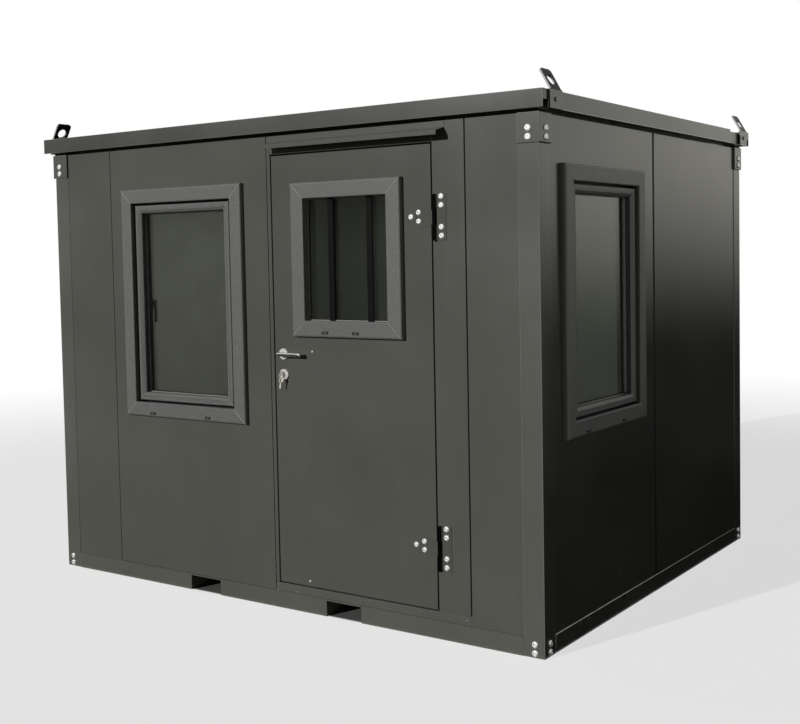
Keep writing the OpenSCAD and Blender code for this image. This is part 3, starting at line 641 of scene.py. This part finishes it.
plate_face = -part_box("door_leaf")[0].y + 2 * MM
FRAME_BOLT_X = 1.018
FRAME_BOLT_HEIGHTS = (1.946, 1.908, 1.814, 1.776, 0.495, 0.457, 0.363, 0.324)
frame_bolts = [(ON_FRONT, FRAME_BOLT_X, z, plate_face) for z in FRAME_BOLT_HEIGHTS]
bolt_heads("hinge_frame_bolts", "cabin", frame_bolts, FRAME_BOLT)
leaf_bolts = [(ON_FRONT, x, z, plate_face) for x, z in (
    (0.901, 1.88), (0.901, 1.841), (0.86, 1.861), (0.902, 0.428), (0.902, 0.39), (0.859, 0.409))]
bolt_heads("hinge_leaf_bolts", "door", leaf_bolts, LEAF_BOLT)
leaf_face = -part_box("door_leaf")[0].y
leaf_screws = [(ON_FRONT, x, z, leaf_face) for x, z in ((0.241, 0.154), (0.285, 1.251))]
bolt_heads("leaf_screws", "door", leaf_screws, SCREW)
head_face = -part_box("door_head")[0].y
bolt_heads("drip_rail_screw", "cabin", [(ON_FRONT, 0.172, 2.231, head_face)], SCREW)


# Half width, half height and rise in mm of the rings that make up a drain cap
CAP_RINGS = ((20, 6.5, 0), (20, 6.5, 1.5), (18.5, 5, 3.2), (13, 3.2, 3.4), (13, 2.6, 1.2))


def drain_caps(name, body, places):
    """Oblong covers over the drain slots of a window's bottom rail, each sunk to a pale middle."""
    bm = bmesh.new()
    for wall, u, v, out in places:
        where = wall @ Matrix.Translation((u, v, out))
        loops = []
        for half_w, half_h, up in CAP_RINGS:
            loop = []
            for k in range(20):
                angle = 2 * math.pi * k / 20
                bow = math.cos(angle)
                rise = math.sin(angle)
                u_mm = math.copysign(abs(bow) * half_h + half_w - half_h, bow) if abs(bow) > 0.01 else 0.0
                loop.append(where @ Vector((u_mm * MM, rise * half_h * MM, up * MM)))
            loops.append(loop)
        skin(bm, loops)
        bm.faces.ensure_lookup_table()
        bm.faces[-1].material_index = 1
    place(name, body, (polyamide, foil_level), bm)


front_trim_face = -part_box("front_window_trim")[0].y
right_trim_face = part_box("right_window_trim")[1].x
door_trim_face = -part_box("door_window_trim")[0].y
drain_caps("front_drain_caps", "cabin", [(ON_FRONT, u, 0.898, front_trim_face) for u in (-0.765, -0.377)])
drain_caps("right_drain_caps", "cabin", [(ON_RIGHT, u, 0.912, right_trim_face) for u in (-0.83, -0.45)])
drain_caps("door_drain_caps", "door", [(ON_FRONT, u, 1.343, door_trim_face) for u in (0.386, 0.561)])


def flat_bars(name, body, finish, bars, edge):
    """Flat bars with rounded edges, each given by two corners."""
    bm = bmesh.new()
    for low, high in bars:
        middle = [(a + b) / 2 for a, b in zip(low, high)]
        size = [b - a for a, b in zip(low, high)]
        bmesh.ops.create_cube(bm, size=1, matrix=Matrix.Translation(middle) @ Matrix.Diagonal(size + [1]))
    bmesh.ops.bevel(bm, geom=bm.edges[:], offset=edge * MM, segments=2, affect="EDGES", profile=0.5)
    return place(name, body, (finish,), bm)


pane_low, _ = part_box("door_window_glass")
trim_low, trim_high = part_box("door_window_trim")
# The bars stand in front of the pane, their ends let 2 mm into the trim
BAR_HALF = 0.016
BAR_FACE = 0.0085
BAR_BACK = 0.0005
BAR_END = 0.074
bars = []
for x in (0.406, 0.626):
    low = (x - BAR_HALF, pane_low.y - BAR_FACE, trim_low.z + BAR_END)
    high = (x + BAR_HALF, pane_low.y - BAR_BACK, trim_high.z - BAR_END)
    bars.append((low, high))
flat_bars("door_window_bars", "door", bar_coat, bars, 1.5)

# Where the end roof edges stop short of the back corners, a plate lapped behind them closes the gap
edge_low, edge_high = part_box("roof_edge_right")
post_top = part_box("post_back_right")[1]
RETURN_LAP = 0.02
RETURN_BACK = 0.0105
RETURN_FACE = 0.0055
RETURN_RISE = 0.0005
RETURN_DROP = 0.012
returns = []
for side in (-1, 1):
    across = sorted((side * (edge_high.x - RETURN_BACK), side * (edge_high.x - RETURN_FACE)))
    low = (across[0], edge_high.y - RETURN_LAP, edge_low.z + RETURN_RISE)
    high = (across[1], post_top.y, edge_high.z - RETURN_DROP)
    returns.append((low, high))
flat_bars("roof_edge_returns", "cabin", edge_coat, returns, 1.0)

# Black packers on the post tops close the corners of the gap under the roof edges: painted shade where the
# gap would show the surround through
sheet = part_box("roof_panel")[1]
PACKER = 0.06
painted_shade_packers = []
for side in (-1, 1):
    for end in (-1, 1):
        for inner, outer in (((sheet.x, post_top.y - PACKER), (post_top.x, post_top.y)),
                             ((post_top.x - PACKER, sheet.y), (sheet.x, post_top.y))):
            x_run = sorted((side * inner[0], side * outer[0]))
            y_run = sorted((end * inner[1], end * outer[1]))
            painted_shade_packers.append(((x_run[0], y_run[0], post_top.z), (x_run[1], y_run[1], edge_low.z)))
flat_bars("roof_corner_painted_shade_packers", "cabin", joint_rubber_and_shade_fill, painted_shade_packers, 0.3)

# How far in mm a joint strip reaches into its joint, and how far it bulges out
STRIP_DEPTH = 2.0
STRIP_BULGE = 0.5


def joint_strips(name, body, places):
    """Rubber strips pressed into the joints between panels, their faces bulging a little."""
    bm = bmesh.new()
    for wall, u, low, high, face, width in places:
        section = [(-width / 2, -STRIP_DEPTH), (-width / 2, 0.0), (-width / 4, STRIP_BULGE),
                   (width / 4, STRIP_BULGE), (width / 2, 0.0), (width / 2, -STRIP_DEPTH)]
        loops = []
        for v in (low, high):
            loops.append([wall @ Vector((u + across * MM, v, face + out * MM)) for across, out in section])
        skin(bm, loops)
    place(name, body, (joint_rubber_and_shade_fill,), bm)


panel_low, panel_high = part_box("front_panel_right")
side_low, side_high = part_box("right_panel_window")
front_joints = ((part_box("front_panel_left")[1].x, 4, 0), (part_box("front_panel_window")[1].x, 4, 0),
                (panel_low.x, 7.5, 0.045))
joints = [(ON_FRONT, x, panel_low.z + stop, panel_high.z, -panel_low.y, width)
          for x, width, stop in front_joints]
joints += [(ON_RIGHT, side_high.y, side_low.z, side_high.z, side_high.x, 22),
           (ON_LEFT, -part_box("left_panel_front")[1].y, side_low.z, side_high.z, side_high.x, 22)]
joints += [(ON_BACK, -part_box(node)[1].x, panel_low.z, panel_high.z, -panel_low.y, 8)
           for node in ("back_panel_left", "back_panel_middle")]
joint_strips("panel_joints", "cabin", joints)


def cut_plate(bm, where, outline, holes, thickness):
    """A piece stamped from sheet: an outline with holes, half its thickness each way from its middle."""
    edges = []
    for run in [outline] + holes:
        verts = [bm.verts.new(where @ Vector((u * MM, v * MM, -thickness / 2 * MM))) for u, v in run]
        edges += [bm.edges.new(pair) for pair in zip(verts, verts[1:] + verts[:1])]
    filled = bmesh.ops.triangle_fill(bm, edges=edges, use_beauty=True)
    faces = [item for item in filled["geom"] if isinstance(item, bmesh.types.BMFace)]
    raised = bmesh.ops.extrude_face_region(bm, geom=faces)
    moved = [item for item in raised["geom"] if isinstance(item, bmesh.types.BMVert)]
    bmesh.ops.translate(bm, verts=moved, vec=where.to_3x3() @ Vector((0, 0, thickness * MM)))


def round_run(middle_u, middle_v, radius, start, end, steps):
    """Points along an arc, its angles in degrees from straight down."""
    angles = [math.radians(start + (end - start) * k / (steps - 1)) for k in range(steps)]
    return [(middle_u + radius * math.sin(a), middle_v - radius * math.cos(a)) for a in angles]


def key_outline(bow, blade, length):
    """A flat key's outline, its bow round the origin and its cut blade pointing down."""
    half = blade / 2
    neck = math.degrees(math.asin(half / bow))
    run = round_run(0, 0, bow, neck, 360 - neck, 24)
    tip = -bow - length
    run += [(-half, tip + 4), (-half + 2, tip), (half - 3, tip), (half - 1.5, tip + 2)]
    for k in range(6):
        run += [(half - 2.2 if k % 2 else half - 0.3, tip + 4 + 4 * k)]
    return run


def bent_wire(bm, path, radius, sides=10):
    """A round wire along a run of points."""
    loops = []
    across = (path[1] - path[0]).orthogonal().normalized()
    for k, point in enumerate(path):
        ahead = (path[min(k + 1, len(path) - 1)] - path[max(k - 1, 0)]).normalized()
        across = (across - ahead * across.dot(ahead)).normalized()
        beside = ahead.cross(across)
        angles = [2 * math.pi * s / sides for s in range(sides)]
        loops.append([point + radius * MM * (math.cos(a) * across + math.sin(a) * beside) for a in angles])
    skin(bm, loops, smooth=True)


# The lock below the lever: a profile cylinder with its key in it, and two more keys hung from a split ring
plates_low, plates_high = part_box("lock_plates")
ROSE_RADIUS = 0.026
LOCK = ON_FRONT @ Matrix.Translation((plates_high.x - ROSE_RADIUS, plates_low.z + ROSE_RADIUS, -plates_low.y))
# A key's own axes set across the lock: its width up, its length out
EDGE_ON = Matrix(((0, 0, 1, 0), (1, 0, 0, 0), (0, 1, 0, 0), (0, 0, 0, 1)))
BOW = 11.5
BOW_OUT = 16.5
HOLE_UP = 6.0
RING_RADIUS = 12.0
bm = bmesh.new()
profile = round_run(0, 6, 8.5, 36, 324, 20) + round_run(0, -11, 5, 270, 450, 12)
cut_plate(bm, LOCK @ Matrix.Translation((0, 0, 0.0015)), profile, [], 3)
turned(bm, LOCK @ Matrix.Translation((0, 6 * MM, 0)), [(6.4, 0), (6.4, 3.6), (5.9, 4.1)])
place("lock_cylinder", "door", (nickel,), bm)
bm = bmesh.new()
key_hole = round_run(0, HOLE_UP, 3.2, 0, 345, 16)
lock_key = LOCK @ Matrix.Translation((0, 6 * MM, BOW_OUT * MM)) @ EDGE_ON
cut_plate(bm, lock_key, key_outline(BOW, 8, 12), [key_hole], 2.4)
RING_TOP = 6 * MM
ring_middle = Vector((0, RING_TOP - RING_RADIUS * MM, (BOW_OUT + HOLE_UP) * MM))
for turn, lean, drop in ((28, 6, 0.0), (-34, -8, -1.5)):
    hung = (LOCK @ Matrix.Translation(ring_middle + Vector((0, (drop - RING_RADIUS - HOLE_UP) * MM, 0)))
            @ Matrix.Rotation(math.radians(turn), 4, "Y") @ Matrix.Rotation(math.radians(lean), 4, "X")
            @ Matrix.Rotation(math.radians(90), 4, "Y"))
    cut_plate(bm, hung, key_outline(BOW - 0.5, 8, 29), [key_hole], 2.2)
place("keys", "door", (nickel,), bm)
bm = bmesh.new()
# The split ring's turns lie 1 mm apart
COIL_TURNS = 1.9
COIL_STEPS = 60
coil = []
for k in range(COIL_STEPS + 1):
    angle = 2 * math.pi * COIL_TURNS * k / COIL_STEPS
    round_ring = RING_RADIUS * MM * Vector((math.sin(angle), math.cos(angle), 0))
    through = Vector((0, 0, (k / COIL_STEPS - 0.5) * COIL_TURNS * MM))
    coil.append(LOCK @ (ring_middle + round_ring + through))
bent_wire(bm, coil, 0.9)
place("key_ring", "door", (zinc_with_painted_glint,), bm)


def oblong(half_w, half_h, round_to, up, where, per_corner=5):
    """A loop of points round an oblong with rounded corners."""
    loop = []
    for corner, (side_u, side_v) in enumerate(((1, -1), (1, 1), (-1, 1), (-1, -1))):
        for u, v in round_run(side_u * (half_w - round_to), side_v * (half_h - round_to), round_to,
                              90 * corner, 90 * corner + 90, per_corner):
            loop.append(where @ Vector((u * MM, v * MM, up * MM)))
    return loop


# The front window's handle, inside on the frame's left upright
frame_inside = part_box("front_window_frame")[1].y
HANDLE = ON_BACK @ Matrix.Translation((0.848, 1.462, frame_inside))
bm = bmesh.new()
skin(bm, [oblong(14, 33, 12, up, HANDLE) for up in (0, 8)] + [oblong(12, 31, 11, 10, HANDLE)], smooth=True)
turned(bm, HANDLE, [(8.5, 9), (8, 14), (7, 22), (7, 34)])
# The grip lies 38 mm out. Its sections have a half width, a half depth and a place along it, in mm
GRIP = HANDLE @ Matrix.Translation((0, 0, 38 * MM)) @ Matrix.Rotation(math.radians(90), 4, "X")
GRIP_SECTIONS = ((5, 4, -20), (9, 7, -17), (10, 8, -8), (9, 7, 20), (8, 6, 70), (9, 6.5, 92), (5, 4, 98))
grip = [oblong(half_w, half_d, half_d * 0.9, along, GRIP) for half_w, half_d, along in GRIP_SECTIONS]
skin(bm, grip, smooth=True)
place("front_window_handle", "cabin", (polyamide,), bm)

# Camera, worked out from the straight edges of the cabin in the photograph
PICTURE_W = 800
PICTURE_H = 724
SENSOR_W = 36
# Focal length and optical centre, in pixels of that picture
FOCAL = 1184.68
CENTRE_U = 407.39
CENTRE_V = 316.15
CAMERA_X = 3.7907
CAMERA_Y = -5.5252
CAMERA_Z = 1.7038
yaw = math.radians(-34.498)
pitch = math.radians(-3.0463)
roll = math.radians(-1.0573)
ahead = Vector((math.sin(yaw) * math.cos(pitch), math.cos(yaw) * math.cos(pitch), math.sin(pitch)))
aside = Vector((math.cos(yaw), -math.sin(yaw), 0))
upward = aside.cross(ahead)
right = math.cos(roll) * aside + math.sin(roll) * upward
up = -math.sin(roll) * aside + math.cos(roll) * upward
camera = bpy.data.objects.new("camera", bpy.data.cameras.new("camera"))
camera.matrix_world = Matrix((
    (right.x, up.x, -ahead.x, CAMERA_X),
    (right.y, up.y, -ahead.y, CAMERA_Y),
    (right.z, up.z, -ahead.z, CAMERA_Z),
    (0, 0, 0, 1),
))
camera.data.sensor_width = SENSOR_W
camera.data.sensor_fit = "HORIZONTAL"
camera.data.lens = FOCAL / PICTURE_W * SENSOR_W
camera.data.shift_x = (PICTURE_W / 2 - CENTRE_U) / PICTURE_W
camera.data.shift_y = (CENTRE_V - PICTURE_H / 2) / PICTURE_W
scene.collection.objects.link(camera)
scene.camera = camera

# A low key light from the front left, which leaves the right wall in shade. Most of it stays out of the
# gloss, so that the paint keeps its colour; the rest gives the highlights.
SUN_RAY = Vector((0.309, 0.951, -math.tan(math.radians(16.5))))
for name, energy, in_gloss in (("key_light", 1.53, False), ("key_shine", 1.5, True)):
    lamp = bpy.data.lights.new(name, "SUN")
    lamp.energy = energy
    lamp.angle = math.radians(1)
    key = bpy.data.objects.new(name, lamp)
    key.rotation_euler = SUN_RAY.to_track_quat("-Z", "Y").to_euler()
    key.visible_glossy = in_gloss
    scene.collection.objects.link(key)

# A soft ceiling light inside, so that the room shows through the windows and the open door
ceiling = bpy.data.lights.new("ceiling_fill", "AREA")
ceiling.shape = "RECTANGLE"
ceiling.size = 2.0
ceiling.size_y = 1.6
ceiling.energy = 12.5
inside_light = bpy.data.objects.new("ceiling_fill", ceiling)
inside_light.location = (0, 0, 2.15)
inside_light.visible_camera = False
inside_light.visible_glossy = False
inside_light.visible_transmission = False
scene.collection.objects.link(inside_light)


def shown_rays(tree):
    """One for the rays that see the surround itself: the camera's, the gloss's and the glass's."""
    rays = add(tree, "LightPath", {}, {})
    seen = add(tree, "Math", {"operation": "ADD"},
               {0: rays.outputs["Is Camera Ray"], 1: rays.outputs["Is Glossy Ray"]})
    shown = add(tree, "Math", {"operation": "ADD", "use_clamp": True},
                {0: seen.outputs["Value"], 1: rays.outputs["Is Transmission Ray"]})
    return shown.outputs["Value"]


# A white surround that the camera, the gloss and the glass see, and a weaker one that lights the cabin
world = bpy.data.worlds.new("studio")
world.use_nodes = True
scene.world = world
sky = world.node_tree
level = add(sky, "MapRange", {"To Min": 0.06, "To Max": 1.0}, {"Value": shown_rays(sky)})
backdrop = sky.nodes["Background"]
backdrop.inputs["Color"].default_value = (1, 1, 1, 1)
sky.links.new(level.outputs["Result"], backdrop.inputs["Strength"])


def stage_piece(name, finish, points):
    """A four-sided piece of the studio, which isn't part of the cabin."""
    mesh = bpy.data.meshes.new(name)
    mesh.from_pydata(points, [], [(0, 1, 2, 3)])
    mesh.materials.append(finish)
    obj = bpy.data.objects.new(name, mesh)
    scene.collection.objects.link(obj)
    return obj


# The pale floor fades into the surround away from the cabin, and keeps the cabin's shadow
floor_finish, tree, shader, where = begin("pale_studio_floor")
shader.inputs["Roughness"].default_value = 0.9
shader.inputs["Specular IOR Level"].default_value = 0.1
mottle = add(tree, "TexNoise", {"Scale": per_metre(400), "Detail": 3.0}, {"Vector": where})
pale = add(tree, "Mix", {"data_type": "RGBA", MIX_A: linear("#f2f1ef"), MIX_B: linear("#f8f8f7")},
           {0: mottle.outputs["Fac"]})
shown = shown_rays(tree)
# The light that the floor throws back on the cabin is kept low, so that shadows stay deep
glow = add(tree, "Emission", {"Color": (1, 1, 1, 1)}, {})
# The floor under the cabin isn't lifted and keeps the darker colour for every ray: painted shade under the
# cabin, so the fork pockets stay dark
beyond = add(tree, "VectorMath", {"operation": "ABSOLUTE"}, {0: where})
ground = add(tree, "SeparateXYZ", {}, {"Vector": beyond.outputs["Vector"]})
past_x = add(tree, "MapRange", {"From Min": 1.47, "From Max": 1.494}, {"Value": ground.outputs["X"]})
past_y = add(tree, "MapRange", {"From Min": 1.2, "From Max": 1.218}, {"Value": ground.outputs["Y"]})
past = add(tree, "Math", {"operation": "MAXIMUM"}, {0: past_x.outputs["Result"], 1: past_y.outputs["Result"]})
floor_outside_painted_shade = add(tree, "Math", {"operation": "MULTIPLY"}, {0: shown, 1: past.outputs["Value"]})
thrown = add(tree, "Mix", {"data_type": "RGBA", MIX_A: linear("#6e6e6b")},
             {0: floor_outside_painted_shade.outputs["Value"], MIX_B: pale.outputs[MIX_OUT]})
tree.links.new(thrown.outputs[MIX_OUT], shader.inputs["Base Color"])
share = add(tree, "Math", {"operation": "MULTIPLY", 1: 0.66}, {0: floor_outside_painted_shade.outputs["Value"]})
lifted = add(tree, "MixShader", {},
             {0: share.outputs["Value"], 1: shader.outputs["BSDF"], 2: glow.outputs["Emission"]})
distance = add(tree, "VectorMath", {"operation": "LENGTH"}, {0: where})
fade = add(tree, "MapRange", {"interpolation_type": "SMOOTHSTEP", "From Min": 4.0, "From Max": 11.0},
           {"Value": distance.outputs["Value"]})
open_air = add(tree, "BsdfTransparent", {}, {})
faded = add(tree, "MixShader", {},
            {0: fade.outputs["Result"], 1: lifted.outputs["Shader"], 2: open_air.outputs["BSDF"]})
tree.links.new(faded.outputs["Shader"], tree.nodes["Material Output"].inputs["Surface"])
stage_piece("studio_floor", floor_finish, [(-14, -14, 0), (14, -14, 0), (14, 14, 0), (-14, 14, 0)])


def painted_reflection_screen(name, points, low, high, level_low, level_high):
    """A graded, glowing screen that only the gloss sees: painted reflections, so that the paint shows its
    colour and not the studio.
    """
    finish, tree, _, where = begin(name)
    height = add(tree, "SeparateXYZ", {}, {"Vector": where})
    grade = add(tree, "MapRange", {"interpolation_type": "SMOOTHSTEP", "From Min": low, "From Max": high,
                                   "To Min": level_low, "To Max": level_high}, {"Value": height.outputs["Z"]})
    tone = add(tree, "Emission", {"Color": linear("#fffdf3")}, {"Strength": grade.outputs["Result"]})
    tree.links.new(tone.outputs["Emission"], tree.nodes["Material Output"].inputs["Surface"])
    screen = stage_piece(name, finish, points)
    screen.visible_camera = False
    screen.visible_diffuse = False
    screen.visible_transmission = False
    screen.visible_volume_scatter = False
    screen.visible_shadow = False


CLOTH_Z = 0.004
FRONT_SCREEN_Y = -2.75
RIGHT_SCREEN_Y = 3.5


def upright(left, right, y, top):
    """The corners of a screen that stands across the studio."""
    return [(left, y, 0), (right, y, 0), (right, y, top), (left, y, top)]


def laid(left, right, near, far):
    """The corners of a glowing sheet, seen only in gloss, that lies just over the floor."""
    return [(left, near, CLOTH_Z), (right, near, CLOTH_Z), (right, far, CLOTH_Z), (left, far, CLOTH_Z)]


# These screens and sheets paint the reflections: dark in the front walls, and on the right wall dark low down
# and bright high up
painted_reflection_screen("front_painted_reflection_screen", upright(-3.9, 1.3, FRONT_SCREEN_Y, 2.75), 0, 3, 0.05, 0.08)
painted_reflection_screen("front_painted_reflection_cloth", laid(-3.9, 1.6, FRONT_SCREEN_Y, -1.225), 0, 1, 0.05, 0.05)
painted_reflection_screen("right_painted_reflection_screen", upright(1.6, 5.0, RIGHT_SCREEN_Y, 3.2), 0.9, 2.65, 0.03, 1.18)
painted_reflection_screen("right_painted_reflection_cloth", laid(1.5, 5.0, -1.3, RIGHT_SCREEN_Y), 0, 1, 0.015, 0.015)

scene.view_settings.view_transform = "Standard"
